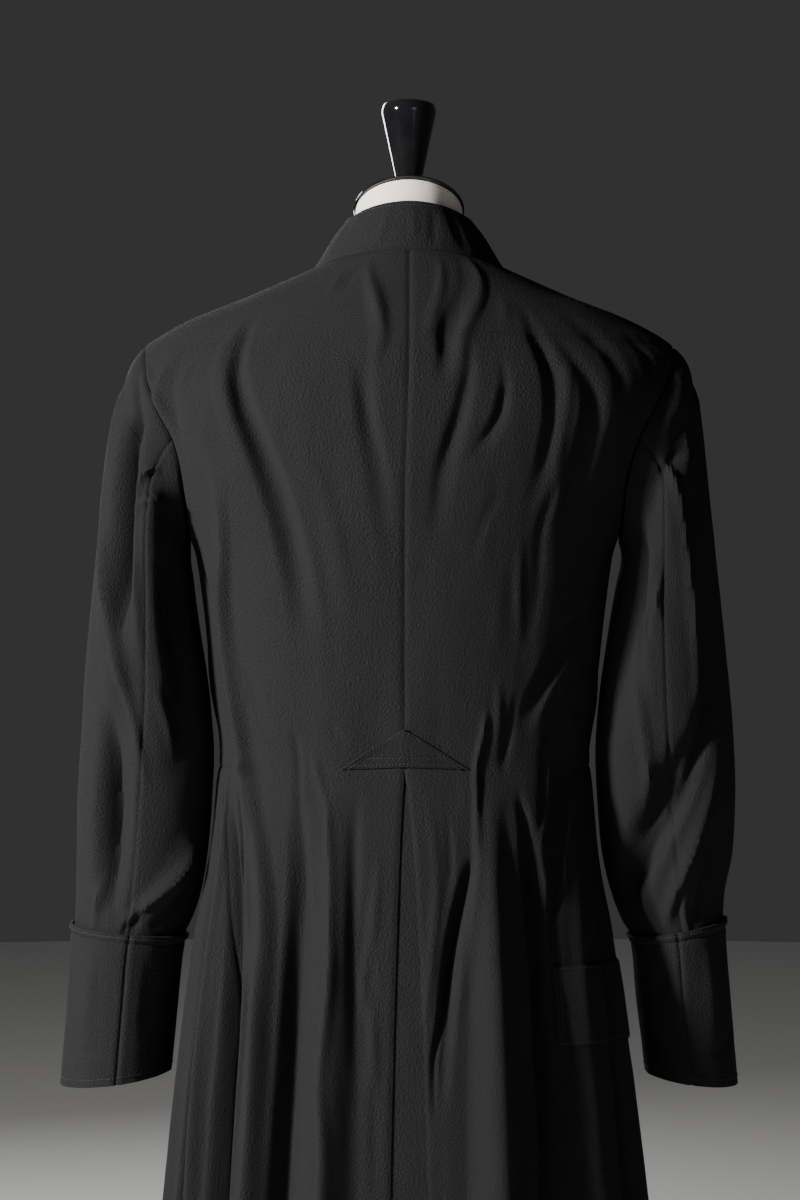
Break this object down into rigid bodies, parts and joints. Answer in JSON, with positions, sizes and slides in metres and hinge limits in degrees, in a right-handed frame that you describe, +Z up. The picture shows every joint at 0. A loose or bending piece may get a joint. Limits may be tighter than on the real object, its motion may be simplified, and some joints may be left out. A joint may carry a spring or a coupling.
{
  "type": "clergy coat on a limbless dress form",
  "caption": "Long black clergy coat with a stand collar, deep turned-back cuffs and a pleated back, filled out on a limbless dress form with a pole and a round base.",
  "frame": {"origin": "middle of the round base, on the floor", "axes": "+Z up, the back of the coat towards +Y, the wearer's left towards +X"},
  "size_m": [0.5828, 0.3903, 1.585],
  "materials": {
    "coat_cloth": "matt black fine wool twill with a faint sheen",
    "button_horn": "satin black horn",
    "form_jersey": "matt off-white cotton jersey",
    "gloss_black": "gloss black lacquer",
    "pole_steel": "dark satin steel"
  },
  "bodies": {
    "root": {"back_left": "coat_cloth", "back_right": "coat_cloth", "pleat_underlay": "coat_cloth", "stay_left": "coat_cloth", "stay_right": "coat_cloth", "side_body_left": "coat_cloth", "side_body_right": "coat_cloth", "skirt_side_left": "coat_cloth", "skirt_side_right": "coat_cloth", "hip_band_right": "coat_cloth", "front_left": "coat_cloth", "front_right": "coat_cloth", "collar": "coat_cloth", "sleeve_upper_left": "coat_cloth", "sleeve_under_left": "coat_cloth", "cuff_left": "coat_cloth", "sleeve_upper_right": "coat_cloth", "sleeve_under_right": "coat_cloth", "cuff_right": "coat_cloth", "button_1": "button_horn", "button_2": "button_horn", "button_3": "button_horn", "button_4": "button_horn", "button_5": "button_horn", "button_6": "button_horn", "button_7": "button_horn", "button_8": "button_horn", "form_torso": "form_jersey", "neck_cap": "gloss_black", "finial": "gloss_black", "pole": "pole_steel", "base": "gloss_black"}
  },
  "joints": []
}
